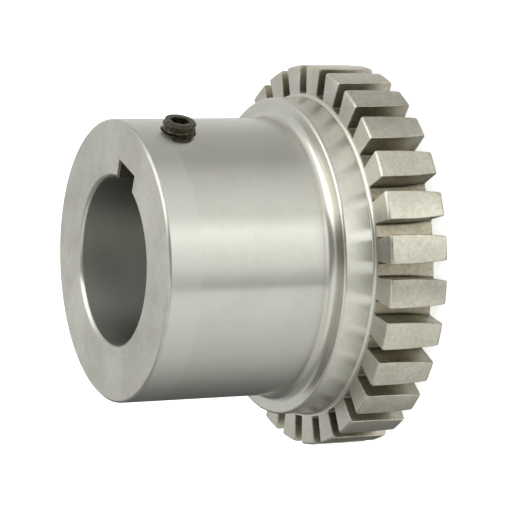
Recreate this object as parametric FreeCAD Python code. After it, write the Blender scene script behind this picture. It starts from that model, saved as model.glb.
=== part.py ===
"""One hub of a grid coupling with its set screw, in millimetres.

The hub stands on its toothed gap face. The origin is the centre of that face, +Z runs along the
bore towards the barrel's plain end, and +X points at the keyway and the set screw.
"""
import FreeCAD, Part
import math
import os

# Barrel and hub as a whole
HUB_LENGTH = 64.5
BARREL_DIAMETER = 66.7
BARREL_END_CHAMFER = 0.6

# Bore and keyway, for an inch size shaft with a square key
BORE_DIAMETER = 39.7
BORE_END_CHAMFER = 0.8
BORE_GAP_CHAMFER = 1.0
KEYWAY_WIDTH = 9.53
KEYWAY_DEPTH = 4.19

# Collar between the barrel and the toothed disc
COLLAR_DIAMETER = 76.4
COLLAR_LENGTH = 7.95
COLLAR_EDGE_CHAMFER = 0.8
BARREL_FILLET = 2.4
DISC_FILLET = 0.95

# Toothed disc
TOOTH_COUNT = 28
TIP_DIAMETER = 92.0
DISC_WIDTH = 14.8
TOOTH_PHASE = 1.7
TIP_CHAMFER_OUTER = 0.6
TIP_CHAMFER_GAP = 0.7

# Slots for the grid spring: parallel flanks that flare out towards the gap face
SLOT_WIDTH = 3.5
SLOT_FLOOR_RISE = 0.05
FLARE_LENGTH = 10.5
FLARE_RADIUS = 80.0

# Set screw and its threaded hole
SCREW_DIAMETER = 7.94
SCREW_LENGTH = 9.53
SCREW_PROUD = 2.5
SCREW_FROM_END = 11.5
SCREW_CLEARANCE = 0.05
SCREW_END_CHAMFER = 0.4
CUP_RIM_DIAMETER = 4.6
CUP_DEPTH = 1.1
SOCKET_ACROSS_FLATS = 3.97
SOCKET_DEPTH = 4.2
SOCKET_POINT_DEPTH = 0.8
HOLE_COUNTERSINK = 0.2

# How far a cutting solid runs past the face that it opens
OVERRUN = 1.0

BARREL_RADIUS = BARREL_DIAMETER / 2
BORE_RADIUS = BORE_DIAMETER / 2
COLLAR_RADIUS = COLLAR_DIAMETER / 2
TIP_RADIUS = TIP_DIAMETER / 2
SCREW_RADIUS = SCREW_DIAMETER / 2
SHOULDER_HEIGHT = DISC_WIDTH + COLLAR_LENGTH
SLOT_FLOOR_RADIUS = COLLAR_RADIUS + DISC_FILLET + SLOT_FLOOR_RISE
SCREW_HEIGHT = HUB_LENGTH - SCREW_FROM_END
SCREW_OUTER_END = BARREL_RADIUS + SCREW_PROUD
HOLE_RADIUS = SCREW_RADIUS + SCREW_CLEARANCE
PITCH_ANGLE = 360.0 / TOOTH_COUNT

ORIGIN = FreeCAD.Vector(0, 0, 0)
X_AXIS = FreeCAD.Vector(1, 0, 0)
Z_AXIS = FreeCAD.Vector(0, 0, 1)


def in_section(radius, height):
    """A point of the hub's half section, in the XZ plane."""
    return FreeCAD.Vector(radius, 0, height)


def line(start, end):
    """A straight edge."""
    return Part.LineSegment(start, end).toShape()


def arc(start, middle, end):
    """A circular edge through three points."""
    return Part.Arc(start, middle, end).toShape()


def inside_fillet(radius, height, size):
    """The concave quarter round between a flat face at a height and a cylinder that rises from it."""
    points = []
    for angle in (270, 225, 180):
        across = radius + size + size * math.cos(math.radians(angle))
        up = height + size + size * math.sin(math.radians(angle))
        points.append(in_section(across, up))
    return arc(*points)


def first_point(item):
    """Where a corner point or an edge begins."""
    return item.Vertexes[0].Point if isinstance(item, Part.Shape) else item


def last_point(item):
    """Where a corner point or an edge ends."""
    return item.Vertexes[-1].Point if isinstance(item, Part.Shape) else item


def closed_wire(items):
    """A closed wire through corner points and round edges in order, with straight lines between."""
    edges = []
    for item, following in zip(items, items[1:] + items[:1]):
        if isinstance(item, Part.Shape):
            edges.append(item)
        edges.append(line(last_point(item), first_point(following)))
    return Part.Wire(edges)


def hub_blank():
    """The turned blank: disc, collar and barrel about an open bore, before any slot is cut."""
    outline = [
        in_section(BORE_RADIUS, BORE_GAP_CHAMFER),
        in_section(BORE_RADIUS + BORE_GAP_CHAMFER, 0),
        in_section(TIP_RADIUS - TIP_CHAMFER_GAP, 0),
        in_section(TIP_RADIUS, TIP_CHAMFER_GAP),
        in_section(TIP_RADIUS, DISC_WIDTH - TIP_CHAMFER_OUTER),
        in_section(TIP_RADIUS - TIP_CHAMFER_OUTER, DISC_WIDTH),
        inside_fillet(COLLAR_RADIUS, DISC_WIDTH, DISC_FILLET),
        in_section(COLLAR_RADIUS, SHOULDER_HEIGHT - COLLAR_EDGE_CHAMFER),
        in_section(COLLAR_RADIUS - COLLAR_EDGE_CHAMFER, SHOULDER_HEIGHT),
        inside_fillet(BARREL_RADIUS, SHOULDER_HEIGHT, BARREL_FILLET),
        in_section(BARREL_RADIUS, HUB_LENGTH - BARREL_END_CHAMFER),
        in_section(BARREL_RADIUS - BARREL_END_CHAMFER, HUB_LENGTH),
        in_section(BORE_RADIUS + BORE_END_CHAMFER, HUB_LENGTH),
        in_section(BORE_RADIUS, HUB_LENGTH - BORE_END_CHAMFER),
    ]
    return Part.Face(closed_wire(outline)).revolve(ORIGIN, Z_AXIS, 360)


def slot_cutter():
    """The space of one slot on +X: its flanks run parallel, then curve apart to the gap face."""
    half = SLOT_WIDTH / 2
    floor = SLOT_FLOOR_RADIUS

    def flank(height):
        past = FLARE_LENGTH - height
        return half + FLARE_RADIUS - math.sqrt(FLARE_RADIUS ** 2 - past ** 2)

    top = DISC_WIDTH + OVERRUN
    bottom = -OVERRUN
    middle = (FLARE_LENGTH + bottom) / 2

    def at(side, across, height):
        return FreeCAD.Vector(floor, side * across, height)

    edges = [
        line(at(1, half, top), at(-1, half, top)),
        line(at(-1, half, top), at(-1, half, FLARE_LENGTH)),
        arc(at(-1, half, FLARE_LENGTH), at(-1, flank(middle), middle), at(-1, flank(bottom), bottom)),
        line(at(-1, flank(bottom), bottom), at(1, flank(bottom), bottom)),
        arc(at(1, flank(bottom), bottom), at(1, flank(middle), middle), at(1, half, FLARE_LENGTH)),
        line(at(1, half, FLARE_LENGTH), at(1, half, top)),
    ]
    depth = TIP_RADIUS - floor + OVERRUN
    return Part.Face(Part.Wire(edges)).extrude(X_AXIS * depth)


def slot_cutters():
    """Every slot's space, half a pitch from the teeth on each side."""
    first = slot_cutter()
    cutters = []
    for index in range(TOOTH_COUNT):
        copy = first.copy()
        copy.rotate(ORIGIN, Z_AXIS, TOOTH_PHASE + (index + 0.5) * PITCH_ANGLE)
        cutters.append(copy)
    return cutters


def keyway_cutter():
    """The keyway's space on +X, through the whole bore."""
    floor = BORE_RADIUS + KEYWAY_DEPTH
    length = HUB_LENGTH + 2 * OVERRUN
    corner = FreeCAD.Vector(0, -KEYWAY_WIDTH / 2, -OVERRUN)
    return Part.makeBox(floor, KEYWAY_WIDTH, length, corner)


def screw_hole_cutter():
    """The set screw's hole from the keyway to the barrel, with its countersunk mouth."""
    start = FreeCAD.Vector(BORE_RADIUS, 0, SCREW_HEIGHT)
    hole = Part.makeCylinder(HOLE_RADIUS, BARREL_RADIUS - BORE_RADIUS + OVERRUN, start, X_AXIS)
    mouth = FreeCAD.Vector(BARREL_RADIUS - HOLE_COUNTERSINK, 0, SCREW_HEIGHT)
    deep = HOLE_COUNTERSINK + OVERRUN
    sink = Part.makeCone(HOLE_RADIUS, HOLE_RADIUS + deep, deep, mouth, X_AXIS)
    return hole.fuse(sink)


def hub():
    """The whole hub: the turned blank with its slots, keyway and screw hole."""
    tools = slot_cutters() + [keyway_cutter(), screw_hole_cutter()]
    return hub_blank().cut(tools)


def socket_cutter():
    """The hexagon socket in the screw's outer end, with the drilled point at its bottom."""
    corner_radius = SOCKET_ACROSS_FLATS / 2 / math.cos(math.radians(30))
    bottom = SCREW_OUTER_END - SOCKET_DEPTH
    points = []
    for index in range(7):
        angle = math.radians(60 * index)
        across = corner_radius * math.cos(angle)
        up = SCREW_HEIGHT + corner_radius * math.sin(angle)
        points.append(FreeCAD.Vector(bottom, across, up))
    prism = Part.Face(Part.makePolygon(points)).extrude(X_AXIS * (SOCKET_DEPTH + OVERRUN))
    point_start = FreeCAD.Vector(bottom - SOCKET_POINT_DEPTH, 0, SCREW_HEIGHT)
    point = Part.makeCone(0, SOCKET_ACROSS_FLATS / 2, SOCKET_POINT_DEPTH, point_start, X_AXIS)
    return prism.fuse(point)


def set_screw():
    """The set screw on +X: a plain shank at its thread's outside size, a cup point and a socket."""
    tip = SCREW_OUTER_END - SCREW_LENGTH
    rim = CUP_RIM_DIAMETER / 2
    point_length = SCREW_RADIUS - rim
    outline = [
        (tip + CUP_DEPTH, 0),
        (tip, rim),
        (tip + point_length, SCREW_RADIUS),
        (SCREW_OUTER_END - SCREW_END_CHAMFER, SCREW_RADIUS),
        (SCREW_OUTER_END, SCREW_RADIUS - SCREW_END_CHAMFER),
        (SCREW_OUTER_END, 0),
        (tip + CUP_DEPTH, 0),
    ]
    points = [FreeCAD.Vector(along, 0, SCREW_HEIGHT + across) for along, across in outline]
    section = Part.Face(Part.makePolygon(points))
    axis_point = FreeCAD.Vector(0, 0, SCREW_HEIGHT)
    return section.revolve(axis_point, X_AXIS, 360).cut(socket_cutter())


def write(name, shape):
    """Checks one solid and writes it as its own file."""
    solid = shape.Solids[0]
    print(name, "solids", len(shape.Solids), "valid", solid.isValid(), "volume", round(solid.Volume, 1))
    solid.exportStep("parts/" + name + ".step")


os.makedirs("parts", exist_ok=True)
write("hub", hub())
write("set_screw", set_screw())
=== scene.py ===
"""Dresses a grid coupling hub and its set screw: bare machined steel and black oxide.

The hub stands on its toothed gap face. Its axis is +Z, and the keyway and the set screw face +X.
Sizes are in millimetres and are turned to metres where a mesh is made.
"""

import logging
import math
from dataclasses import dataclass, field
from enum import Enum

import bmesh
import bpy
from mathutils import Matrix, Vector


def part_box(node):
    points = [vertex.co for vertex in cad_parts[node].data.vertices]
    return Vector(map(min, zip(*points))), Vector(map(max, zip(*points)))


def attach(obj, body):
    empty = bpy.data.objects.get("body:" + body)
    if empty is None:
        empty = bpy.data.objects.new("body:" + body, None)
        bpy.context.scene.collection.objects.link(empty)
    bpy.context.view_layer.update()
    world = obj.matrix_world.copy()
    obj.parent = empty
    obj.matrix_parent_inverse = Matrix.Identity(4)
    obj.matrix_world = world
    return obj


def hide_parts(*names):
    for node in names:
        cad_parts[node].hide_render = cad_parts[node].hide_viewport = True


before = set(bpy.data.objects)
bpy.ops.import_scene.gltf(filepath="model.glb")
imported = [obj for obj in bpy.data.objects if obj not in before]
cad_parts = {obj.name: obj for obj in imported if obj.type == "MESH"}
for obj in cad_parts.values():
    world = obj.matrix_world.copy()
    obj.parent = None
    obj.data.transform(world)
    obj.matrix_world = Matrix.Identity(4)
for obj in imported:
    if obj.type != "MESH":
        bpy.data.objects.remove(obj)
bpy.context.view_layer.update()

MM = 0.001
LOG = logging.getLogger("hub")

# Points closer than this are one point, in metres
MERGE_DISTANCE = 1e-6
# Heights closer than this are one level, in millimetres
LEVEL_TOLERANCE = 1e-6
# Where the two new points of a broken edge lie, as shares of its size
ARRIS_NEAR = 0.3
ARRIS_FAR = 0.7
ARRIS_BORE = 0.4

# Noise settings: how many finer layers, and how strong each is next to the one before
MARK_NOISE = {"Detail": 3.0, "Roughness": 0.6}
STAIN_NOISE = {"Detail": 4.0, "Roughness": 0.62}
# The stretch of the noise that turns into a share of the darker colour
STAIN_RANGE = {"From Min": 0.35, "From Max": 0.7}
# How much longer than wide a mark along the axis is: its noise moves this much slower
AXIS_SLOWNESS = 0.04
# Ring marks change this little round the whole axis, in millimetres of noise
RING_TURN_MM = 0.6

Point = tuple[float, float, float]
FlatPoint = tuple[float, float]
Colour = tuple[float, float, float, float]
WHITE: Colour = (1.0, 1.0, 1.0, 1.0)
Socket = bpy.types.NodeSocket


class Cut(Enum):
    """How a stretch of the hub's surface was machined, as its material slot number."""

    TURNED = 0
    FACED = 1
    MILLED = 2
    BORED = 3
    RIM = 4
    FLOOR = 5
    COLLAR = 6
    BROACHED = 7


class Lay(Enum):
    """Which way the tool marks run."""

    RINGS = "round the axis"
    AXIS = "along the axis"


def linear(hex_colour: str) -> Colour:
    """Turns an sRGB hex colour into linear RGBA, by the sRGB standard's own numbers.

    Args:
        hex_colour: six hex digits, such as "c8c6be".

    Returns:
        Linear red, green, blue and an alpha of 1.
    """
    channels = []
    for start in (0, 2, 4):
        value = int(hex_colour[start:start + 2], 16) / 255
        channels.append(value / 12.92 if value <= 0.04045 else ((value + 0.055) / 1.055) ** 2.4)
    return (*channels, 1.0)


def add_node(tree: bpy.types.NodeTree, kind: str, inputs: dict[str | int, object] | None = None,
             **settings: object) -> bpy.types.Node:
    """Adds a node with its settings and inputs.

    Args:
        tree: the node tree that takes the node.
        kind: the node's type name.
        inputs: socket name or number to a value, or to an output socket to link from.
        **settings: the node's own properties.

    Returns:
        The new node.
    """
    node = tree.nodes.new(kind)
    for name, value in settings.items():
        setattr(node, name, value)
    for key, value in (inputs or {}).items():
        socket = node.inputs[key]
        if isinstance(value, Socket):
            tree.links.new(value, socket)
        else:
            socket.default_value = value
    return node


def new_material(name: str) -> tuple[bpy.types.Material, bpy.types.NodeTree, bpy.types.Node]:
    """Makes an empty node material with its shader and output.

    Args:
        name: the material's name.

    Returns:
        The material, its node tree and its Principled shader.
    """
    material = bpy.data.materials.new(name)
    material.use_nodes = True
    tree = material.node_tree
    tree.nodes.clear()
    shader = add_node(tree, "ShaderNodeBsdfPrincipled")
    add_node(tree, "ShaderNodeOutputMaterial", {"Surface": shader.outputs["BSDF"]})
    return material, tree, shader


@dataclass(frozen=True)
class MachinedSteel:
    """Bare carbon steel as the tool left it: fine parallel tool marks that spread reflections.

    The marks are bump, and the shader's anisotropy draws each reflection out across them.
    """

    name: str
    light: str = "c9c8be"
    dark: str = "b3b2a9"
    roughness: float = 0.22
    roughness_spread: float = 0.05
    anisotropic: float = 0.85
    turn: float = 0.25
    lay: Lay = Lay.RINGS
    # The lathe's feed leaves a groove about every 0.1 mm. It is drawn twice as wide, to show.
    mark_mm: float = 0.22
    mark_depth_mm: float = 0.0035
    # Stains of dried coolant, about as wide as a finger.
    stain_mm: float = 9.0
    stain: float = 0.25
    # Specks of about 0.1 mm on the real steel. They are drawn nine times as coarse, to show.
    grain_mm: float = 0.9
    grain: float = 0.1
    # From this height up the barrel was turned again, which left it a little lighter and duller.
    band_mm: float | None = None
    band_edge_mm: float = 0.3
    band_light: str = "cacbc1"
    band_roughness: float = 0.07
    # Painted shade darkens the steel at this radius, and less and less further out, for the shade
    # that falls deep in the slots.
    painted_shade_from_mm: float | None = None
    painted_shade_reach_mm: float = 4.5
    painted_shade_share: float = 0.55
    painted_shade_colour: str = "3a382f"

    def material(self) -> bpy.types.Material:
        """Builds the steel: tool marks as bump, stains, and reflections spread across the marks.

        Returns:
            The finished material.
        """
        material, tree, shader = new_material(self.name)
        coords = add_node(tree, "ShaderNodeTexCoord").outputs["Object"]
        place = add_node(tree, "ShaderNodeSeparateXYZ", {0: coords}).outputs
        along, across = self.mark_place(tree, place)
        marks = add_node(
            tree, "ShaderNodeTexNoise",
            {"Vector": along, "W": across, "Scale": 1 / (self.mark_mm * MM), **MARK_NOISE},
            noise_dimensions="4D",
        ).outputs["Fac"]
        bump = add_node(
            tree, "ShaderNodeBump",
            {"Height": marks, "Strength": 1.0, "Distance": self.mark_depth_mm * MM},
        ).outputs[0]
        colour = self.stained(tree, coords)
        rough = add_node(
            tree, "ShaderNodeMapRange",
            {"Value": marks, "To Min": self.roughness - self.roughness_spread,
             "To Max": self.roughness + self.roughness_spread},
        ).outputs[0]
        if self.band_mm is not None:
            colour, rough = self.banded(tree, place["Z"], colour, rough)
        # Painted shade: the steel darkens towards the slot floor.
        if self.painted_shade_from_mm is not None:
            colour = self.painted_slot_shade(tree, place, colour)
        tangent = add_node(tree, "ShaderNodeTangent", direction_type="RADIAL", axis="Z").outputs[0]
        for name, socket in (("Base Color", colour), ("Roughness", rough), ("Normal", bump),
                             ("Tangent", tangent)):
            tree.links.new(socket, shader.inputs[name])
        shader.inputs["Metallic"].default_value = 1.0
        shader.inputs["Anisotropic"].default_value = self.anisotropic
        shader.inputs["Anisotropic Rotation"].default_value = self.turn
        return material

    def mark_place(self, tree: bpy.types.NodeTree,
                   place: bpy.types.bpy_prop_collection) -> tuple[Socket, Socket]:
        """Stretches space along the tool marks, so that noise in it runs the way they do.

        Args:
            tree: the material's tree.
            place: the sockets of the place's X, Y and Z.

        Returns:
            The noise's place and its fourth coordinate.
        """
        flat = self.flattened(tree, place)
        if self.lay is Lay.AXIS:
            slow = add_node(tree, "ShaderNodeMath", {0: place["Z"], 1: AXIS_SLOWNESS},
                            operation="MULTIPLY")
            return flat, slow.outputs[0]
        outward = add_node(tree, "ShaderNodeVectorMath", {0: flat}, operation="NORMALIZE")
        turn = add_node(
            tree, "ShaderNodeVectorMath", {0: outward.outputs[0], "Scale": RING_TURN_MM * MM},
            operation="SCALE",
        ).outputs[0]
        turn = add_node(tree, "ShaderNodeSeparateXYZ", {0: turn}).outputs
        ring = add_node(tree, "ShaderNodeCombineXYZ", {0: turn["X"], 1: turn["Y"], 2: place["Z"]})
        return ring.outputs[0], self.distance(tree, flat)

    def flattened(self, tree: bpy.types.NodeTree, place: bpy.types.bpy_prop_collection) -> Socket:
        """Gives the place without its height."""
        return add_node(tree, "ShaderNodeCombineXYZ", {0: place["X"], 1: place["Y"]}).outputs[0]

    def distance(self, tree: bpy.types.NodeTree, flat: Socket) -> Socket:
        """Gives the distance from the axis of a place without its height."""
        length = add_node(tree, "ShaderNodeVectorMath", {0: flat}, operation="LENGTH")
        return length.outputs["Value"]

    def stained(self, tree: bpy.types.NodeTree, coords: Socket) -> Socket:
        """Mixes the two steel colours by broad stains and a fine grain.

        Args:
            tree: the material's tree.
            coords: the place's socket.

        Returns:
            The colour's socket.
        """
        shares = []
        for size, amount in ((self.stain_mm, self.stain), (self.grain_mm, self.grain)):
            noise = add_node(
                tree, "ShaderNodeTexNoise",
                {"Vector": coords, "Scale": 1 / (size * MM), **STAIN_NOISE},
            ).outputs["Fac"]
            shares.append(add_node(
                tree, "ShaderNodeMapRange", {"Value": noise, **STAIN_RANGE, "To Max": amount},
            ).outputs[0])
        share = add_node(tree, "ShaderNodeMath", {0: shares[0], 1: shares[1]}, operation="ADD")
        return self.mix(tree, share.outputs[0], linear(self.light), linear(self.dark))

    def banded(self, tree: bpy.types.NodeTree, height: Socket, colour: Socket,
               rough: Socket) -> tuple[Socket, Socket]:
        """Makes the steel lighter and duller above the band's edge.

        Args:
            tree: the material's tree.
            height: the place's height.
            colour: the colour below the band.
            rough: the roughness below the band.

        Returns:
            The colour's and the roughness's sockets.
        """
        share = add_node(
            tree, "ShaderNodeMapRange",
            {"Value": height, "From Min": (self.band_mm - self.band_edge_mm) * MM,
             "From Max": (self.band_mm + self.band_edge_mm) * MM},
        ).outputs[0]
        rough = add_node(
            tree, "ShaderNodeMath", {0: share, 1: self.band_roughness, 2: rough},
            operation="MULTIPLY_ADD",
        ).outputs[0]
        return self.mix(tree, share, colour, linear(self.band_light)), rough

    def painted_slot_shade(self, tree: bpy.types.NodeTree, place: bpy.types.bpy_prop_collection,
              colour: Socket) -> Socket:
        """Paints shade on the steel towards the slot floor, darkest at the floor and fading
        outwards.

        Args:
            tree: the material's tree.
            place: the sockets of the place's X, Y and Z.
            colour: the steel's colour without the painted shade.

        Returns:
            The colour's socket.
        """
        radius = self.distance(tree, self.flattened(tree, place))
        share = add_node(
            tree, "ShaderNodeMapRange",
            {"Value": radius, "From Min": self.painted_shade_from_mm * MM,
             "From Max": (self.painted_shade_from_mm + self.painted_shade_reach_mm) * MM,
             "To Min": self.painted_shade_share, "To Max": 0.0},
        ).outputs[0]
        return self.mix(tree, share, colour, linear(self.painted_shade_colour))

    def mix(self, tree: bpy.types.NodeTree, share: Socket, first: Socket | Colour,
            second: Socket | Colour) -> Socket:
        """Mixes two colours by a share.

        Args:
            tree: the material's tree.
            share: how much of the second colour.
            first: a colour, or a socket that gives one.
            second: the same.

        Returns:
            The colour's socket.
        """
        node = add_node(tree, "ShaderNodeMix", {0: share, 6: first, 7: second}, data_type="RGBA")
        return node.outputs[2]


@dataclass(frozen=True)
class BlackOxide:
    """Black oxide on hardened steel: a thin oiled skin, brown black, with a soft low gloss."""

    name: str = "black_oxide_steel"
    colour: str = "453f33"
    worn: str = "8f8873"
    worn_share: float = 0.6
    roughness: float = 0.36
    roughness_spread: float = 0.1
    metallic: float = 0.85
    # Rubbed spots of about 0.1 mm on the real screw. They are drawn coarser, so that they show.
    grain_mm: float = 0.9

    def material(self) -> bpy.types.Material:
        """Builds the oxide skin with faint mottling.

        Returns:
            The finished material.
        """
        material, tree, shader = new_material(self.name)
        coords = add_node(tree, "ShaderNodeTexCoord").outputs["Object"]
        grain = add_node(
            tree, "ShaderNodeTexNoise",
            {"Vector": coords, "Scale": 1 / (self.grain_mm * MM), "Detail": 3.0},
        ).outputs["Fac"]
        share = add_node(
            tree, "ShaderNodeMapRange",
            {"Value": grain, "From Min": 0.5, "From Max": 0.8, "To Max": self.worn_share},
        ).outputs[0]
        colour = add_node(
            tree, "ShaderNodeMix", {0: share, 6: linear(self.colour), 7: linear(self.worn)},
            data_type="RGBA",
        ).outputs[2]
        rough = add_node(
            tree, "ShaderNodeMapRange",
            {"Value": grain, "To Min": self.roughness - self.roughness_spread,
             "To Max": self.roughness + self.roughness_spread},
        ).outputs[0]
        tree.links.new(colour, shader.inputs["Base Color"])
        tree.links.new(rough, shader.inputs["Roughness"])
        shader.inputs["Metallic"].default_value = self.metallic
        return material


class MeshDraft:
    """A mesh under construction: rings of points, in millimetres, joined by strips of faces."""

    def __init__(self) -> None:
        """Starts an empty draft."""
        self.points: list[Point] = []
        self.faces: list[tuple[int, ...]] = []
        self.cuts: list[int] = []

    def add(self, points: list[Point]) -> list[int]:
        """Adds points and returns their numbers.

        Args:
            points: the points, in millimetres.

        Returns:
            Their numbers in the mesh.
        """
        first = len(self.points)
        self.points.extend(points)
        return list(range(first, first + len(points)))

    def face(self, corners: list[int], cut: Cut = Cut.TURNED) -> None:
        """Adds one face through these corners."""
        self.faces.append(tuple(corners))
        self.cuts.append(cut.value)

    def strip(self, near: list[int], far: list[int], cut: Cut = Cut.TURNED,
              closed: bool = True) -> None:
        """Joins two rings of equal length with quads.

        Args:
            near: the first ring's point numbers.
            far: the second ring's point numbers.
            cut: how the strip was machined.
            closed: whether the last point joins the first.
        """
        count = len(near)
        for index in range(count if closed else count - 1):
            after = (index + 1) % count
            self.face([near[index], near[after], far[after], far[index]], cut)

    def mesh(self, name: str) -> bpy.types.Mesh:
        """Makes a Blender mesh in metres, with each face's cut as its material number.

        Args:
            name: the mesh's name.

        Returns:
            The mesh.
        """
        mesh = bpy.data.meshes.new(name)
        mesh.from_pydata([tuple(c * MM for c in point) for point in self.points], [], self.faces)
        mesh.polygons.foreach_set("material_index", self.cuts)
        return mesh


def break_inset(depth: float, size: float) -> float:
    """How far a rounded edge of some size has drawn in at a depth below the face.

    Args:
        depth: the depth, in millimetres.
        size: the edge's radius.

    Returns:
        The distance, 0 below the edge.
    """
    if depth >= size:
        return 0.0
    return size - math.sqrt(size ** 2 - (size - depth) ** 2)


def arc_points(centre: FlatPoint, size: float, start: float, end: float,
               steps: int) -> list[FlatPoint]:
    """Points on an arc.

    Args:
        centre: the arc's centre.
        size: its radius.
        start: first angle, in degrees.
        end: last angle, in degrees.
        steps: number of stretches.

    Returns:
        The points, both ends included.
    """
    points = []
    for step in range(steps + 1):
        angle = math.radians(start + (end - start) * step / steps)
        points.append((centre[0] + size * math.cos(angle), centre[1] + size * math.sin(angle)))
    return points


def finished_piece(name: str, mesh: bpy.types.Mesh, materials: list[bpy.types.Material],
                   crease_deg: float) -> bpy.types.Object:
    """Turns a mesh into a piece: doubles merged, faces outwards, smooth with sharp creases.

    Args:
        name: the piece's name.
        mesh: its mesh, in metres.
        materials: the materials, in the order of the mesh's material numbers.
        crease_deg: edges that turn by more than this stay sharp.

    Returns:
        The piece, linked to the scene.
    """
    work = bmesh.new()
    work.from_mesh(mesh)
    bmesh.ops.remove_doubles(work, verts=work.verts, dist=MERGE_DISTANCE)
    bmesh.ops.recalc_face_normals(work, faces=work.faces)
    limit = math.radians(crease_deg)
    for edge in work.edges:
        edge.smooth = len(edge.link_faces) == 2 and edge.calc_face_angle(0.0) < limit
    for face in work.faces:
        face.smooth = True
    open_edges = sum(1 for edge in work.edges if len(edge.link_faces) != 2)
    work.to_mesh(mesh)
    work.free()
    for material in materials:
        mesh.materials.append(material)
    piece = bpy.data.objects.new(name, mesh)
    bpy.context.scene.collection.objects.link(piece)
    weighted = piece.modifiers.new("face_weighted_normals", "WEIGHTED_NORMAL")
    weighted.keep_sharp = True
    weighted.weight = 100
    replace_with_evaluated(piece)
    LOG.info("%s: %d faces, %d open edges", name, len(piece.data.polygons), open_edges)
    return piece


def replace_with_evaluated(piece: bpy.types.Object) -> None:
    """Gives a piece its evaluated mesh as a plain one and takes its modifiers off.

    Args:
        piece: the piece, linked to the scene.
    """
    bpy.context.view_layer.update()
    graph = bpy.context.evaluated_depsgraph_get()
    result = bpy.data.meshes.new_from_object(piece.evaluated_get(graph), depsgraph=graph)
    piece.modifiers.clear()
    piece.data = result


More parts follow.
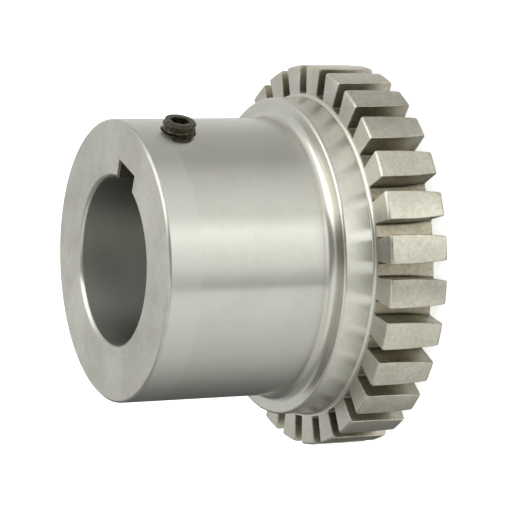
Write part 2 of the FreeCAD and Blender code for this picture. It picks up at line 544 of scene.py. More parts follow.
@dataclass(frozen=True)
class ToothRing:
    """The toothed disc: one pitch is modelled, and a node tree repeats it round the axis."""

    count: int = 28
    phase_deg: float = 1.7
    tip_radius: float = 46.0
    width: float = 14.8
    seam_radius: float = 39.15
    gap_seam_radius: float = 33.0
    floor_radius: float = 39.2
    half_slot: float = 1.75
    flare_length: float = 10.5
    flare_radius: float = 80.0
    corner: float = 0.55
    land_edge: float = 0.2
    edge_break: float = 0.2
    floor_break: float = 0.12
    tip_break_outer: float = 0.7
    tip_break_gap: float = 0.9
    # Levels of the outline: depths below the barrel side, stretches of the flare, and heights
    # by the gap face
    outer_depths: tuple[float, ...] = (0.0, 0.02, 0.06, 0.12, 0.2, 0.3, 0.42, 0.56, 0.7)
    flare_levels: int = 10
    gap_heights: tuple[float, ...] = (0.9, 0.6, 0.4, 0.25, 0.15, 0.08, 0.03, 0.0)
    steps_floor: int = 2
    steps_corner: int = 4
    steps_flank: int = 3
    steps_edge: int = 3
    steps_land: int = 2

    @property
    def per_pitch(self) -> int:
        """Stretches of the outline in one pitch."""
        floor_side = self.steps_floor + self.steps_corner + self.steps_flank
        return 2 * (floor_side + self.steps_edge + self.steps_land)

    @property
    def ring_count(self) -> int:
        """Points in a whole ring about the axis."""
        return self.count * self.per_pitch

    @property
    def pitch(self) -> float:
        """One pitch, in radians."""
        return 2 * math.pi / self.count

    @property
    def first_angle(self) -> float:
        """Angle of the whole ring's first point, which is a tooth's middle, in radians."""
        return math.radians(self.phase_deg)

    def outline(self, half: float, floor: float, tip: float) -> list[FlatPoint]:
        """One pitch of the disc's outline about a slot on +X, from mid tooth to mid tooth.

        Args:
            half: half the slot's width.
            floor: distance of the slot's floor from the axis.
            tip: tip radius.

        Returns:
            The outline's points, from the -Y side to the +Y side.
        """
        edge = self.land_edge
        across = half + edge
        along = math.sqrt((tip - edge) ** 2 - across ** 2)
        land_start = math.degrees(math.atan2(across, along))
        side = [(floor, (half - self.corner) * step / self.steps_floor)
                for step in range(self.steps_floor)]
        side += [(floor + self.corner - depth, y) for depth, y in self.corner_points(half)]
        start = floor + self.corner
        side += [
            (start + (along - start) * step / self.steps_flank, half)
            for step in range(1, self.steps_flank)
        ]
        side += arc_points((along, across), edge, -90, land_start, self.steps_edge)
        land_end = math.degrees(self.pitch / 2)
        side += arc_points((0, 0), tip, land_start, land_end, self.steps_land)[1:]
        return [(x, -y) for x, y in reversed(side[1:])] + side

    def corner_points(self, half: float) -> list[FlatPoint]:
        """The rounded corner between floor and flank.

        Args:
            half: half the slot's width.

        Returns:
            Each point's depth from the flank's start and its place across, from the floor outwards.
        """
        points = []
        for step in range(self.steps_corner + 1):
            angle = math.pi / 2 * step / self.steps_corner
            across = half - self.corner + self.corner * math.sin(angle)
            points.append((self.corner * math.cos(angle), across))
        return points

    def flare(self, height: float) -> float:
        """How far each flank has curved away from the slot's parallel stretch at a height."""
        past = max(0.0, self.flare_length - height)
        return self.flare_radius - math.sqrt(self.flare_radius ** 2 - past ** 2)

    def heights(self) -> list[float]:
        """Heights of the outline's levels, from the barrel side down to the gap face.

        Returns:
            The heights, in falling order.
        """
        top = [self.width - depth for depth in self.outer_depths]
        flare = [self.flare_length * (1 - step / self.flare_levels)
                 for step in range(self.flare_levels)]
        bottom = list(self.gap_heights)
        return top + [height for height in flare if height > bottom[0]] + bottom

    def cut_at(self, index: int) -> Cut:
        """How one stretch of the outline was machined: the rim, a flank, or the slot's floor.

        Args:
            index: the stretch, counted from the middle of a tooth.

        Returns:
            Its cut.
        """
        from_end = min(index, self.per_pitch - 1 - index)
        if from_end < self.steps_land:
            return Cut.RIM
        if from_end < self.per_pitch // 2 - self.steps_floor:
            return Cut.MILLED
        return Cut.FLOOR

    def sector(self) -> bpy.types.Mesh:
        """Models one pitch: its outline at every level and the two flat faces.

        Returns:
            The sector's mesh, about +X, with each face's cut as its material number.
        """
        draft = MeshDraft()
        rings = []
        for height in self.heights():
            depth_outer = self.width - height
            tip_in = (break_inset(depth_outer, self.tip_break_outer)
                      + break_inset(height, self.tip_break_gap))
            side_in = (break_inset(depth_outer, self.edge_break)
                       + break_inset(height, self.edge_break))
            floor_in = (break_inset(depth_outer, self.floor_break)
                        + break_inset(height, self.edge_break))
            flat = self.outline(self.half_slot + self.flare(height) + side_in,
                                self.floor_radius - floor_in, self.tip_radius - tip_in)
            rings.append(draft.add([(x, y, height) for x, y in flat]))
        for near, far in zip(rings, rings[1:]):
            for index in range(self.per_pitch):
                corners = [near[index], near[index + 1], far[index + 1], far[index]]
                draft.face(corners, self.cut_at(index))
        for ring, radius in ((rings[0], self.seam_radius), (rings[-1], self.gap_seam_radius)):
            height = draft.points[ring[0]][2]
            seam = []
            for index in range(self.per_pitch + 1):
                angle = self.pitch * (index / self.per_pitch - 0.5)
                seam.append((radius * math.cos(angle), radius * math.sin(angle), height))
            draft.face(ring + list(reversed(draft.add(seam))), Cut.FACED)
        return draft.mesh("tooth_pitch")

    def repeat_tree(self, materials: list[bpy.types.Material]) -> bpy.types.GeometryNodeTree:
        """Builds the node tree that sets copies of a sector round the axis.

        Args:
            materials: the hub's materials, in slot order.

        Returns:
            The tree, with inputs for the count and the first slot's angle.
        """
        tree = bpy.data.node_groups.new("teeth_round_the_axis", "GeometryNodeTree")
        tree.interface.new_socket("Geometry", in_out="INPUT", socket_type="NodeSocketGeometry")
        tree.interface.new_socket("Count", in_out="INPUT", socket_type="NodeSocketInt")
        tree.interface.new_socket("First Angle", in_out="INPUT", socket_type="NodeSocketFloat")
        tree.interface.new_socket("Geometry", in_out="OUTPUT", socket_type="NodeSocketGeometry")
        given = add_node(tree, "NodeGroupInput").outputs
        points = add_node(tree, "GeometryNodePoints", {"Count": given["Count"]})
        index = add_node(tree, "GeometryNodeInputIndex").outputs[0]
        share = add_node(tree, "ShaderNodeMath", {0: index, 1: given["Count"]}, operation="DIVIDE")
        turned = add_node(
            tree, "ShaderNodeMath", {0: share.outputs[0], 1: 2 * math.pi, 2: given["First Angle"]},
            operation="MULTIPLY_ADD",
        )
        rotation = add_node(tree, "ShaderNodeCombineXYZ", {2: turned.outputs[0]})
        copies = add_node(
            tree, "GeometryNodeInstanceOnPoints",
            {"Points": points.outputs[0], "Instance": given["Geometry"],
             "Rotation": rotation.outputs[0]},
        )
        real = add_node(tree, "GeometryNodeRealizeInstances", {"Geometry": copies.outputs[0]})
        whole = real.outputs[0]
        number = add_node(tree, "GeometryNodeInputMaterialIndex").outputs[0]
        for cut in (Cut.FACED, Cut.MILLED, Cut.RIM, Cut.FLOOR):
            chosen = add_node(tree, "FunctionNodeCompare", {2: number, 3: cut.value},
                              data_type="INT", operation="EQUAL")
            dressed = add_node(
                tree, "GeometryNodeSetMaterial",
                {"Geometry": whole, "Selection": chosen.outputs[0],
                 "Material": materials[cut.value]},
            )
            whole = dressed.outputs[0]
        add_node(tree, "NodeGroupOutput", {0: whole})
        return tree

    def mesh(self, materials: list[bpy.types.Material]) -> bpy.types.Mesh:
        """Makes the whole toothed disc as one open mesh, with the hub's material numbers.

        Args:
            materials: the hub's materials, in slot order.

        Returns:
            The disc's mesh.
        """
        sector = self.sector()
        for material in materials:
            sector.materials.append(material)
        holder = bpy.data.objects.new("tooth_ring_holder", sector)
        bpy.context.scene.collection.objects.link(holder)
        repeat = holder.modifiers.new("repeat", "NODES")
        repeat.node_group = self.repeat_tree(materials)
        sockets = {item.name: item.identifier for item in repeat.node_group.interface.items_tree
                   if item.in_out == "INPUT"}
        repeat[sockets["Count"]] = self.count
        repeat[sockets["First Angle"]] = self.first_angle + self.pitch / 2
        replace_with_evaluated(holder)
        result = holder.data
        order = [result.materials.find(material.name) for material in materials]
        slots = {place: number for number, place in enumerate(order) if place >= 0}
        numbers = [slots.get(polygon.material_index, 0) for polygon in result.polygons]
        result.polygons.foreach_set("material_index", numbers)
        bpy.data.objects.remove(holder)
        return result


@dataclass(frozen=True)
class ScrewThread:
    """A rolled or tapped thread as a wave on a cylinder: the same rule serves screw and hole."""

    pitch: float = 1.411
    crest_share: float = 0.22
    root_share: float = 0.22

    def depth_share(self, along: float, turn: float) -> float:
        """How deep the thread's groove is at a place.

        Args:
            along: distance along the axis, in millimetres.
            turn: angle round the axis, in radians.

        Returns:
            0 on the crest, 1 at the root.
        """
        phase = (along / self.pitch - turn / (2 * math.pi)) % 1.0
        rise = 2 * abs(phase - 0.5)
        slope = 1 - self.crest_share - self.root_share
        return min(1.0, max(0.0, (rise - self.crest_share) / slope))


@dataclass(frozen=True)
class BoreRings:
    """The bore's rings from the end face down, and the edges of the keyway's window."""

    rings: list[list[int]]
    heights: list[float]
    cuts: list[Cut]
    low: float
    high: float


@dataclass(frozen=True)
class Hub:
    """The whole hub as one closed mesh: turned body, toothed disc, keyway and tapped hole."""

    length: float
    teeth: ToothRing
    barrel_radius: float = 33.35
    end_chamfer: float = 0.6
    bore_radius: float = 19.85
    bore_end_chamfer: float = 0.8
    bore_gap_chamfer: float = 1.0
    keyway_half: float = 4.765
    keyway_floor: float = 24.04
    collar_radius: float = 38.2
    collar_length: float = 7.95
    collar_edge: float = 0.8
    barrel_fillet: float = 2.4
    disc_fillet: float = 0.95
    arris: float = 0.12
    screw_from_end: float = 11.5
    hole_radius: float = 4.02
    hole_sink: float = 0.2
    # The hole's mouth is broken by a hair at its rim, and its thread starts this far below the sink
    mouth_break: float = 0.06
    mouth_lip: float = 0.02
    thread_start: float = 0.35
    thread_depth: float = 0.35
    thread_rings_per_pitch: int = 10
    thread_fade_rings: int = 4
    # The window that the hole is modelled in: half its width in ring points, its rows and its reach
    patch_half: int = 20
    patch_rows: int = 18
    patch_reach: float = 5.5
    keyway_patch_reach: float = 5.2
    # The keyway's floor and walls end at these ring points, counted from +X
    floor_points: int = 20
    wall_points: int = 31
    edge_steps: int = 7
    root_steps: int = 10
    # Rings of the barrel lie at these shares of the way from the window's border to the mouth
    barrel_ring_shares: tuple[float, ...] = (0.35, 0.65, 0.85, 1.0)
    # Plain rings stand this far from the barrel's root and from the window
    plain_margin: float = 6.0
    # A plain ring of the bore stands at this share of the length
    bore_ring_share: float = 0.4
    # A ring of the keyway's floor lies at this share of the way from the hole to its window
    floor_ring_share: float = 0.4
    crease_deg: float = 38.0
    thread: ScrewThread = field(default_factory=ScrewThread)

    @property
    def shoulder(self) -> float:
        """Height of the collar's shoulder."""
        return self.teeth.width + self.collar_length

    @property
    def screw_height(self) -> float:
        """Height of the set screw's axis."""
        return self.length - self.screw_from_end

    @property
    def nearest(self) -> int:
        """The ring point nearest to +X."""
        step = 2 * math.pi / self.teeth.ring_count
        return round(-self.teeth.first_angle / step) % self.teeth.ring_count

    def angles(self) -> list[float]:
        """The angles of a plain ring's points."""
        count = self.teeth.ring_count
        return [self.teeth.first_angle + 2 * math.pi * index / count for index in range(count)]

    def offset(self, index: int) -> int:
        """A ring point's place counted from the one nearest to +X, up to half a ring each way."""
        count = self.teeth.ring_count
        return (index - self.nearest + count // 2) % count - count // 2

    def plain_ring(self, radius: float, height: float) -> list[Point]:
        """A round ring."""
        return [(radius * math.cos(a), radius * math.sin(a), height) for a in self.angles()]

    def keyed_ring(self, radius: float, height: float, widen: float = 0.0) -> list[Point]:
        """A ring of the bore with the keyway's notch on +X.

        Args:
            radius: the bore's radius there.
            height: the ring's height.
            widen: how much the notch is opened on every side, as at a broken edge.

        Returns:
            The ring's points, in step with a plain ring's.
        """
        half = self.keyway_half + widen
        floor = self.keyway_floor + widen
        corner = math.asin(half / radius)
        corner_x = radius * math.cos(corner)
        rest = self.teeth.ring_count / 2 - self.wall_points
        points = []
        for index in range(self.teeth.ring_count):
            place = self.offset(index)
            away = abs(place)
            sign = 1 if place >= 0 else -1
            if away <= self.floor_points:
                points.append((floor, half * place / self.floor_points, height))
            elif away <= self.wall_points:
                share = (away - self.floor_points) / (self.wall_points - self.floor_points)
                points.append((floor + (corner_x - floor) * share, sign * half, height))
            else:
                angle = corner + (math.pi - corner) * (away - self.wall_points) / rest
                points.append((radius * math.cos(angle), sign * radius * math.sin(angle), height))
        return points

    def turned_profile(self) -> list[tuple[float, float, Cut]]:
        """The outside from the disc's seam to the end face.

        Returns:
            The profile's points: radius, height, and the cut of the stretch that follows.
        """
        disc = self.teeth.width
        edge = self.collar_edge
        fillet = arc_points((self.collar_radius + self.disc_fillet, disc + self.disc_fillet),
                            self.disc_fillet, 270, 180, self.edge_steps)
        collar = arc_points((self.collar_radius - edge, self.shoulder - edge), edge, 0, 90,
                            self.edge_steps)
        root_centre = (self.barrel_radius + self.barrel_fillet, self.shoulder + self.barrel_fillet)
        root = arc_points(root_centre, self.barrel_fillet, 270, 180, self.root_steps)
        profile = [(*point, Cut.TURNED) for point in fillet[:-1]]
        profile.append((*fillet[-1], Cut.COLLAR))
        profile += [(*point, Cut.TURNED) for point in collar + root]
        chamfer_foot = self.length - self.end_chamfer
        small = self.arris
        rows = [self.screw_height + self.patch_reach * (2 * step / self.patch_rows - 1)
                for step in range(self.patch_rows + 1)]
        plain = [self.shoulder + self.barrel_fillet + self.plain_margin,
                 self.screw_height - self.patch_reach - self.plain_margin]
        for height in plain + rows:
            profile.append((self.barrel_radius, height, Cut.TURNED))
        end_radius = self.barrel_radius - self.end_chamfer
        profile += [
            (self.barrel_radius, chamfer_foot - small, Cut.FACED),
            (self.barrel_radius - small * ARRIS_NEAR, chamfer_foot + small * ARRIS_FAR, Cut.FACED),
            (end_radius + small * ARRIS_FAR, self.length - small * ARRIS_NEAR, Cut.FACED),
            (end_radius - small, self.length, Cut.FACED),
        ]
        return profile

    def body_draft(self) -> MeshDraft:
        """Models everything but the toothed disc: outside, end face, bore, keyway and screw hole.

        Returns:
            The draft, open only at the disc's two seams.
        """
        draft = MeshDraft()
        low, high = self.screw_height - self.patch_reach, self.screw_height + self.patch_reach
        rings, heights, cuts = [], [], []
        for radius, height, cut in self.turned_profile():
            rings.append(draft.add(self.plain_ring(radius, height)))
            heights.append(height)
            cuts.append(cut)
        for index in range(len(rings) - 1):
            inside = (heights[index] >= low - LEVEL_TOLERANCE
                      and heights[index + 1] <= high + LEVEL_TOLERANCE)
            self.strip_with_window(draft, rings[index], rings[index + 1], cuts[index], inside)
        outer_loop = self.window_loop(rings, heights, low, high)
        bore = self.bore_rings(draft)
        draft.strip(rings[-1], bore.rings[0], Cut.FACED)
        for index in range(len(bore.rings) - 1):
            inside = (bore.heights[index] <= bore.high + LEVEL_TOLERANCE
                      and bore.heights[index + 1] >= bore.low - LEVEL_TOLERANCE)
            self.strip_with_window(draft, bore.rings[index], bore.rings[index + 1],
                                   bore.cuts[index], inside)
        seam = draft.add(self.plain_ring(self.teeth.gap_seam_radius, 0.0))
        draft.strip(bore.rings[-1], seam, Cut.FACED)
        inner_loop = self.window_loop(bore.rings[::-1], bore.heights[::-1], bore.low, bore.high)
        self.screw_hole(draft, outer_loop, inner_loop)
        return draft

    def strip_with_window(self, draft: MeshDraft, near: list[int], far: list[int], cut: Cut,
                          window: bool) -> None:
        """Joins two rings, and leaves the screw hole's window open if asked.

        Args:
            draft: the hub's draft.
            near: the first ring's point numbers.
            far: the second ring's point numbers.
            cut: how the strip was machined. The keyway's part of a bored strip is broached.
            window: whether the window's part stays open.
        """
        count = len(near)
        for index in range(count):
            place = self.offset(index)
            if window and -self.patch_half <= place < self.patch_half:
                continue
            after = (index + 1) % count
            broached = cut is Cut.BORED and -self.wall_points <= place < self.wall_points
            draft.face([near[index], near[after], far[after], far[index]],
                       Cut.BROACHED if broached else cut)

    def window_loop(self, rings: list[list[int]], heights: list[float], low: float,
                    high: float) -> list[int]:
        """The open window's border, from its low -Y corner, first along +Y.

        Args:
            rings: the rings, from low to high.
            heights: their heights.
            low: the window's lower edge.
            high: the window's upper edge.

        Returns:
            The border's point numbers, in order.
        """
        rows = [ring for ring, height in zip(rings, heights)
                if low - LEVEL_TOLERANCE <= height <= high + LEVEL_TOLERANCE]
        count = self.teeth.ring_count
        columns = [(self.nearest + place) % count
                   for place in range(-self.patch_half, self.patch_half + 1)]
        loop = [rows[0][column] for column in columns]
        loop += [row[columns[-1]] for row in rows[1:]]
        loop += [rows[-1][column] for column in reversed(columns[:-1])]
        loop += [row[columns[0]] for row in reversed(rows[1:-1])]
        return loop

    def bore_rings(self, draft: MeshDraft) -> BoreRings:
        """Adds the bore's rings from the end face down to the gap face.

        Args:
            draft: the hub's draft.

        Returns:
            The rings, their heights and cuts, and the keyway window's low and high edges.
        """
        reach = self.keyway_patch_reach
        low, high = self.screw_height - reach, self.screw_height + reach
        small = self.arris
        end = self.bore_radius + self.bore_end_chamfer
        gap = self.bore_radius + self.bore_gap_chamfer
        foot = self.length - self.bore_end_chamfer
        levels = [
            (end + small, self.length, small, Cut.FACED),
            (end - small * ARRIS_FAR, self.length - small * ARRIS_NEAR, small * ARRIS_NEAR,
             Cut.FACED),
            (self.bore_radius + small * ARRIS_BORE, foot + small * ARRIS_FAR, 0.0, Cut.BORED),
            (self.bore_radius, foot - small, 0.0, Cut.BORED),
        ]
        levels += [(self.bore_radius, high - 2 * reach * step / self.patch_rows, 0.0, Cut.BORED)
                   for step in range(self.patch_rows + 1)]
        levels += [
            (self.bore_radius, self.length * self.bore_ring_share, 0.0, Cut.BORED),
            (self.bore_radius, self.bore_gap_chamfer + small, 0.0, Cut.BORED),
            (self.bore_radius + small * ARRIS_BORE, self.bore_gap_chamfer - small * ARRIS_FAR, 0.0,
             Cut.FACED),
            (gap - small * ARRIS_FAR, small * ARRIS_NEAR, small * ARRIS_NEAR, Cut.FACED),
            (gap + small, 0.0, small, Cut.FACED),
        ]
        rings = [draft.add(self.keyed_ring(radius, height, widen))
                 for radius, height, widen, _ in levels]
        heights = [level[1] for level in levels]
        cuts = [level[3] for level in levels]
        return BoreRings(rings, heights, cuts, low, high)

    def screw_hole(self, draft: MeshDraft, outer: list[int], inner: list[int]) -> None:
        """Joins the barrel's window to the keyway's by the countersunk and tapped hole.

        Args:
            draft: the hub's draft.
            outer: the barrel window's border.
            inner: the keyway window's border, in step with the outer one.
        """
        middle = self.screw_height
        border = [draft.points[number] for number in outer]
        turns = [math.atan2(z - middle, y) for _, y, z in border]

        def on_barrel(y: float, z: float) -> Point:
            """The barrel's point over a place in the YZ plane."""
            return (math.sqrt(self.barrel_radius ** 2 - y ** 2), y, z)

        def circle(radius: float) -> list[FlatPoint]:
            """A circle about the hole's axis, in step with the window's border."""
            return [(radius * math.cos(turn), middle + radius * math.sin(turn)) for turn in turns]

        previous = outer
        mouth = circle(self.hole_radius + self.hole_sink + self.mouth_break)
        for share in self.barrel_ring_shares:
            ring = []
            for (_, y, z), (end_y, end_z) in zip(border, mouth):
                ring.append(on_barrel(y + (end_y - y) * share, z + (end_z - z) * share))
            numbers = draft.add(ring)
            draft.strip(previous, numbers, Cut.TURNED)
            previous = numbers
        sink_ring = []
        for y, z in circle(self.hole_radius + self.hole_sink - self.mouth_lip):
            x, _, _ = on_barrel(y, z)
            sink_ring.append((x - self.mouth_break, y, z))
        numbers = draft.add(sink_ring)
        draft.strip(previous, numbers, Cut.FACED)
        previous = numbers
        start = self.barrel_radius - self.hole_sink - self.thread_start
        steps = int((start - self.keyway_floor) / self.thread.pitch * self.thread_rings_per_pitch)
        for step in range(steps + 1):
            along = start + (self.keyway_floor - start) * step / steps
            fade = min(1.0, step / self.thread_fade_rings, (steps - step) / self.thread_fade_rings)
            ring = []
            for turn in turns:
                groove = self.thread_depth * fade * self.thread.depth_share(along, turn)
                size = self.hole_radius + groove
                ring.append((along, size * math.cos(turn), middle + size * math.sin(turn)))
            numbers = draft.add(ring)
            draft.strip(previous, numbers, Cut.BORED)
            previous = numbers
        far_border = [draft.points[number] for number in inner]
        last = [draft.points[number] for number in previous]
        ring = []
        for (x, y, z), (_, end_y, end_z) in zip(last, far_border):
            ring.append((x, y + (end_y - y) * self.floor_ring_share,
                         z + (end_z - z) * self.floor_ring_share))
        numbers = draft.add(ring)
        draft.strip(previous, numbers, Cut.BORED)
        draft.strip(numbers, inner, Cut.BORED)

    def build(self, materials: list[bpy.types.Material]) -> bpy.types.Object:
        """Builds the hub, dresses it and lets it ride on its body.

        Args:
            materials: the hub's materials, in the order of Cut.

        Returns:
            The hub's piece.
        """
        body = self.body_draft().mesh("hub_body")
        disc = self.teeth.mesh(materials)
        work = bmesh.new()
        work.from_mesh(body)
        work.from_mesh(disc)
        whole = bpy.data.meshes.new("machined_hub")
        work.to_mesh(whole)
        work.free()
        piece = finished_piece("machined_hub", whole, materials, self.crease_deg)
        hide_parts("hub")
        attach(piece, "hub")
        return piece


@dataclass(frozen=True)
class SetScrew:
    """The socket set screw on +X: rolled thread, cup point and hexagon socket."""

    outer_end: float
    height: float
    radius: float = 3.93
    length: float = 9.53
    thread_depth: float = 0.6
    end_chamfer: float = 0.4
    cup_rim: float = 2.3
    cup_depth: float = 1.1
    cup_edge: float = 0.1
    cup_edge_depth: float = 0.05
    socket_flats: float = 3.97
    socket_depth: float = 4.2
    # The socket's mouth flares this much and this deep, its wall has a ring further in, and its
    # floor is drilled to a point
    socket_flare: float = 1.06
    socket_flare_depth: float = 0.12
    socket_ring_depth: float = 1.4
    drill_share: float = 0.48
    drill_depth: float = 0.8
    # A point is closed by a face of this radius
    point_radius: float = 0.01
    round_points: int = 96
    steps_per_pitch: int = 12
    crease_deg: float = 32.0
    thread: ScrewThread = field(default_factory=ScrewThread)

    def ring(self, along: float, sizes: list[float]) -> list[Point]:
        """A ring about the screw's axis with a radius for each point.

        Args:
            along: the ring's distance from the hub's axis.
            sizes: the radii.

        Returns:
            The ring's points.
        """
        points = []
        for index, size in enumerate(sizes):
            turn = 2 * math.pi * index / self.round_points
            points.append((along, size * math.cos(turn), self.height + size * math.sin(turn)))
        return points

    def round(self, radius: float) -> list[float]:
        """The radii of a circle's outline, point by point."""
        return [radius] * self.round_points

    def hexagon(self, flats: float) -> list[float]:
        """The radii of a hexagon's outline, point by point.

        Args:
            flats: the width across its flats.

        Returns:
            The radii.
        """
        sizes = []
        for index in range(self.round_points):
            turn = 360 * index / self.round_points % 60 - 30
            sizes.append(flats / 2 / math.cos(math.radians(turn)))
        return sizes

    def shank(self) -> list[tuple[float, list[float]]]:
        """The threaded stretch from the cup's rim to the end chamfer: place and radii of each ring.

        Returns:
            The rings, from the tip outwards.
        """
        tip = self.outer_end - self.length
        count = int(self.length / self.thread.pitch * self.steps_per_pitch)
        rows = []
        for step in range(count + 1):
            along = tip + self.length * step / count
            point_limit = self.cup_rim + self.cup_edge + (along - tip)
            end_limit = self.radius - self.end_chamfer + (self.outer_end - along)
            sizes = []
            for index in range(self.round_points):
                turn = 2 * math.pi * index / self.round_points
                threaded = self.radius - self.thread_depth * self.thread.depth_share(along, turn)
                sizes.append(min(threaded, point_limit, end_limit))
            rows.append((along, sizes))
        return rows

    def build(self, material: bpy.types.Material) -> bpy.types.Object:
        """Builds the screw, dresses it and lets it ride on its body.

        Args:
            material: the black oxide.

        Returns:
            The screw's piece.
        """
        draft = MeshDraft()
        tip = self.outer_end - self.length
        bottom = self.outer_end - self.socket_depth
        socket = self.hexagon(self.socket_flats)
        rows = [
            (tip + self.cup_depth, self.round(self.point_radius)),
            (tip + self.cup_edge_depth, self.round(self.cup_rim - self.cup_edge)),
            (tip, self.round(self.cup_rim)),
            *self.shank(),
            (self.outer_end, [size * self.socket_flare for size in socket]),
            (self.outer_end - self.socket_flare_depth, socket),
            (self.outer_end - self.socket_ring_depth, socket),
            (bottom, socket),
            (bottom, self.round(self.socket_flats * self.drill_share)),
            (bottom - self.drill_depth, self.round(self.point_radius)),
        ]
        rings = [draft.add(self.ring(along, sizes)) for along, sizes in rows]
        for near, far in zip(rings, rings[1:]):
            draft.strip(near, far)
        draft.face(list(rings[0]))
        draft.face(list(rings[-1]))
        piece = finished_piece("threaded_set_screw", draft.mesh("set_screw"), [material],
                               self.crease_deg)
        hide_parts("set_screw")
        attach(piece, "set_screw")
        return piece


@dataclass(frozen=True)
class CameraPlace:
    """Where the camera stands, in the hub's frame, in millimetres and degrees."""

    aim: Point = (0.0, 0.0, 32.5)
    distance: float = 640.0
    azimuth: float = -63.3
    elevation: float = 25.35
    roll: float = -91.82
    lens: float = 186.5
    sensor: float = 36.0
    # The photograph isn't framed on the hub's middle
    shift: FlatPoint = (0.04415, -0.0006)


@dataclass(frozen=True)
class TentBelt:
    """One belt of the light tent round the hub, seen only in reflections.

    Each stop gives an azimuth in degrees and the belt's brightness there. Between stops it fades.
    """

    name: str
    elevations: tuple[float, float]
    stops: tuple[FlatPoint, ...]

    def brightness(self, azimuth: float) -> float:
        """The belt's brightness at an azimuth that lies between the first stop and the last.

        Args:
            azimuth: the azimuth, in degrees.

        Returns:
            The brightness, 1 for plain white.
        """
        for (start, here), (end, there) in zip(self.stops, self.stops[1:]):
            if start >= azimuth >= end:
                return here + (there - here) * (start - azimuth) / (start - end)
        return self.stops[-1][1]


@dataclass(frozen=True)
class SoftLamp:
    """A large square lamp that faces the origin: place and side in metres, power in watts."""

    name: str
    place: Point
    power: float
    side: float


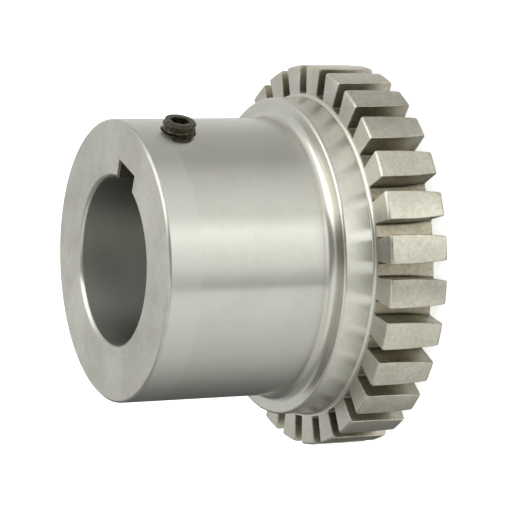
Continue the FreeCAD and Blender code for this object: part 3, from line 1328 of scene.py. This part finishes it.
@dataclass(frozen=True)
class Studio:
    """Pale floor, soft lamps, a light tent for the reflections, and the camera."""

    camera: CameraPlace = field(default_factory=CameraPlace)
    lamps: tuple[SoftLamp, ...] = (
        SoftLamp("soft_key_lamp", (0.5, -0.9, 1.1), 9.0, 0.9),
        SoftLamp("soft_fill_lamp", (-0.9, -0.2, 0.9), 4.0, 0.8),
    )
    world_light: float = 0.55
    tent_radius: float = 1500.0
    tent_height: float = 40.0
    tent_first_azimuth: float = 120.0
    tent_columns: int = 720
    tent_levels: int = 24
    floor_half_m: float = 2.0
    floor_colour: str = "f4f4f2"
    # The paper's own glow, for light that falls on the hub and for the eye, which sees it white
    floor_glow: float = 0.35
    floor_glow_seen: float = 0.6

    def build(self) -> None:
        """Makes the whole studio."""
        self.make_world()
        self.make_floor()
        self.make_tent()
        self.make_lamps()
        self.make_camera()

    def make_world(self) -> None:
        """A white surround for the eye and for reflections, and a plain level of light."""
        world = bpy.data.worlds.new("white_studio")
        bpy.context.scene.world = world
        world.use_nodes = True
        tree = world.node_tree
        tree.nodes.clear()
        path = add_node(tree, "ShaderNodeLightPath").outputs
        seen = path["Is Camera Ray"]
        for ray in ("Is Glossy Ray", "Is Transmission Ray"):
            seen = add_node(tree, "ShaderNodeMath", {0: seen, 1: path[ray]}, operation="ADD",
                            use_clamp=True).outputs[0]
        light = add_node(tree, "ShaderNodeBackground",
                         {"Color": WHITE, "Strength": self.world_light})
        white = add_node(tree, "ShaderNodeBackground", {"Color": WHITE, "Strength": 1.0})
        both = add_node(tree, "ShaderNodeMixShader",
                        {0: seen, 1: light.outputs[0], 2: white.outputs[0]})
        add_node(tree, "ShaderNodeOutputWorld", {"Surface": both.outputs[0]})

    def make_floor(self) -> None:
        """A plain pale floor of matt paper under the hub, which takes its soft shadow."""
        half = self.floor_half_m
        mesh = bpy.data.meshes.new("studio_floor")
        corners = [(-half, -half, 0), (half, -half, 0), (half, half, 0), (-half, half, 0)]
        mesh.from_pydata(corners, [], [(0, 1, 2, 3)])
        floor = bpy.data.objects.new("studio_floor", mesh)
        bpy.context.scene.collection.objects.link(floor)
        material, tree, shader = new_material("matt_white_paper")
        shader.inputs["Base Color"].default_value = linear(self.floor_colour)
        shader.inputs["Roughness"].default_value = 0.9
        shader.inputs["Specular IOR Level"].default_value = 0.1
        shader.inputs["Emission Color"].default_value = WHITE
        path = add_node(tree, "ShaderNodeLightPath").outputs
        glow = add_node(
            tree, "ShaderNodeMapRange",
            {"Value": path["Is Camera Ray"], "To Min": self.floor_glow,
             "To Max": self.floor_glow_seen},
        )
        tree.links.new(glow.outputs[0], shader.inputs["Emission Strength"])
        mesh.materials.append(material)
        floor.visible_glossy = False

    def belts(self) -> list[TentBelt]:
        """Lists the tent's belts.

        Returns:
            The low belt, which shows in the barrel and the rim, the two that show in the faces and
            the edges, and the cap over the hub.
        """
        low = TentBelt("low_tent_belt", (-88, 10), (
            (120, 0.12), (98, 0.85), (75, 0.77), (55, 0.62), (22, 0.55), (5, 0.8), (-15, 1.0),
            (-30, 1.08), (-43, 1.6), (-56, 1.33), (-72, 1.08), (-80, 0.8), (-88, 0.55),
            (-89.5, 1.04), (-105, 1.0), (-130, 0.84), (-150, 0.7), (-170, 0.46), (-190, 0.25),
            (-215, 0.12), (-240, 0.12)))
        middle = TentBelt("middle_tent_belt", (10, 39), (
            (120, 0.8), (65, 0.9), (50, 1.15), (-22, 1.15), (-34, 0.5), (-50, 0.3), (-77, 0.3),
            (-90, 0.8), (-120, 0.85), (-150, 0.7), (-175, 0.35), (-210, 0.35), (-228, 0.8),
            (-240, 0.8)))
        high = TentBelt("high_tent_belt", (39, 76), (
            (120, 1.2), (95, 1.2), (80, 0.8), (65, 1.0), (50, 2.8), (-20, 2.8), (-30, 0.6),
            (-50, 0.3), (-70, 0.4), (-80, 0.8), (-90, 1.15), (-120, 1.15), (-150, 1.0),
            (-175, 0.4), (-210, 0.4), (-225, 1.2), (-240, 1.2)))
        cap = TentBelt("tent_cap", (76, 89), ((120, 0.9), (-240, 0.9)))
        return [low, middle, high, cap]

    def make_tent(self) -> None:
        """Stands the tent's belts round the hub, where only reflections show them."""
        for belt in self.belts():
            mesh = self.belt_mesh(belt)
            mesh.materials.append(self.glowing_cloth(belt.name))
            card = bpy.data.objects.new(belt.name, mesh)
            bpy.context.scene.collection.objects.link(card)
            card.visible_camera = False
            card.visible_diffuse = False
            card.visible_shadow = False
            card.visible_transmission = False

    def belt_mesh(self, belt: TentBelt) -> bpy.types.Mesh:
        """Models one belt as part of a sphere.

        Args:
            belt: the belt.

        Returns:
            Its mesh, with the brightness at each point as the attribute "glow".
        """
        draft = MeshDraft()
        low, high = belt.elevations
        glow, rings = [], []
        for step in range(self.tent_columns + 1):
            azimuth = self.tent_first_azimuth - 360 * step / self.tent_columns
            turn = math.radians(azimuth)
            ring = []
            for level in range(self.tent_levels + 1):
                up = math.radians(low + (high - low) * level / self.tent_levels)
                across = self.tent_radius * math.cos(up)
                ring.append((across * math.cos(turn), across * math.sin(turn),
                             self.tent_radius * math.sin(up) + self.tent_height))
                glow.append(belt.brightness(azimuth))
            rings.append(draft.add(ring))
        for near, far in zip(rings, rings[1:]):
            draft.strip(near, far, closed=False)
        mesh = draft.mesh(belt.name)
        mesh.attributes.new("glow", "FLOAT", "POINT").data.foreach_set("value", glow)
        return mesh

    def glowing_cloth(self, name: str) -> bpy.types.Material:
        """Makes the lit cloth of a belt: white, as bright as the mesh's glow says.

        Args:
            name: the material's name.

        Returns:
            The material.
        """
        material = bpy.data.materials.new(name)
        material.use_nodes = True
        tree = material.node_tree
        tree.nodes.clear()
        level = add_node(tree, "ShaderNodeAttribute", attribute_name="glow").outputs["Fac"]
        light = add_node(tree, "ShaderNodeEmission", {"Strength": level})
        add_node(tree, "ShaderNodeOutputMaterial", {"Surface": light.outputs[0]})
        return material

    def make_lamps(self) -> None:
        """Hangs the soft lamps over the hub. Reflections show the tent in their stead."""
        for soft in self.lamps:
            data = bpy.data.lights.new(soft.name, "AREA")
            data.energy = soft.power
            data.size = soft.side
            lamp = bpy.data.objects.new(soft.name, data)
            bpy.context.scene.collection.objects.link(lamp)
            lamp.location = soft.place
            lamp.rotation_euler = (-Vector(soft.place)).to_track_quat("-Z", "Y").to_euler()
            lamp.visible_glossy = False

    def make_camera(self) -> None:
        """Sets the camera at the photograph's angle, turned so that the axis lies across."""
        place = self.camera
        azimuth, elevation = math.radians(place.azimuth), math.radians(place.elevation)
        back = Vector((math.cos(elevation) * math.cos(azimuth),
                       math.cos(elevation) * math.sin(azimuth), math.sin(elevation)))
        data = bpy.data.cameras.new("camera")
        data.lens = place.lens
        data.shift_x, data.shift_y = place.shift
        data.sensor_width = place.sensor
        data.clip_start = 0.05
        data.clip_end = 20.0
        camera = bpy.data.objects.new("camera", data)
        bpy.context.scene.collection.objects.link(camera)
        upright = back.to_track_quat("Z", "Y").to_matrix()
        turn = Matrix.Rotation(math.radians(place.roll), 3, "Z")
        rotation = (upright @ turn).to_4x4()
        rotation.translation = (Vector(place.aim) + back * place.distance) * MM
        camera.matrix_world = rotation
        bpy.context.scene.camera = camera


def hub_materials() -> list[bpy.types.Material]:
    """The hub's finishes in the order of Cut: medium carbon steel, by the tool that cut each face.

    Returns:
        The materials.
    """
    finishes = [
        # Fine turned. The rings are too fine to count, and draw reflections out into soft streaks.
        MachinedSteel("turned_carbon_steel", band_mm=56.5),
        # Faced on the lathe. Duller and faintly stained, so that a flat face looks an even grey.
        MachinedSteel("faced_carbon_steel", dark="a5a398", roughness=0.3, mark_mm=0.3, stain=0.5,
                      grain=0.3),
        # Milled with a side cutter. Matt and stained, with painted shade that darkens it towards
        # the slot's floor.
        MachinedSteel("milled_flank_steel", light="d3d0bf", dark="98937f", roughness=0.45,
                      anisotropic=0.3, lay=Lay.AXIS, stain=0.8, grain=0.4, painted_shade_from_mm=39.2),
        # Bored. Coarser and darker than the outside: a soft sheen with no clear reflection.
        MachinedSteel("bored_carbon_steel", light="abada4", dark="8e9087", roughness=0.4),
        # The rim, turned before the slots were milled. A warm satin with a plain grain.
        MachinedSteel("turned_rim_steel", light="d3d1c1", dark="a8a493", roughness=0.3, stain=0.35,
                      grain=0.5),
        # The slot floors, milled. Matt and sandy, the warmest of the finishes.
        MachinedSteel("milled_floor_steel", light="c8c2ae", dark="938a75", roughness=0.45,
                      anisotropic=0.3, lay=Lay.AXIS, stain=0.6, grain=0.5),
        # The collar, turned last. The palest finish, with broad soft highlights.
        MachinedSteel("turned_collar_steel", light="e2e1d6", dark="c7c6bb", roughness=0.34,
                      stain=0.5, grain=0.3),
        # The keyway, broached. Rough and oily, so that it looks dark brown.
        MachinedSteel("broached_keyway_steel", light="6d6455", dark="423b31", roughness=0.5,
                      anisotropic=0.3, lay=Lay.AXIS, stain=0.8),
    ]
    return [finish.material() for finish in finishes]


def main() -> None:
    """Builds the pieces in order and then the studio."""
    logging.basicConfig(level=logging.INFO, format="%(name)s: %(message)s")
    low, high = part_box("hub")
    screw_low, screw_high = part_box("set_screw")
    teeth = ToothRing(tip_radius=(high.y - low.y) / 2 / MM)
    hub = Hub(length=high.z / MM, teeth=teeth)
    hub.build(hub_materials())
    screw = SetScrew(outer_end=screw_high.x / MM, height=(screw_low.z + screw_high.z) / 2 / MM)
    screw.build(BlackOxide().material())
    Studio().build()
    bpy.context.scene.view_settings.view_transform = "Standard"


if __name__ == "__main__":
    main()
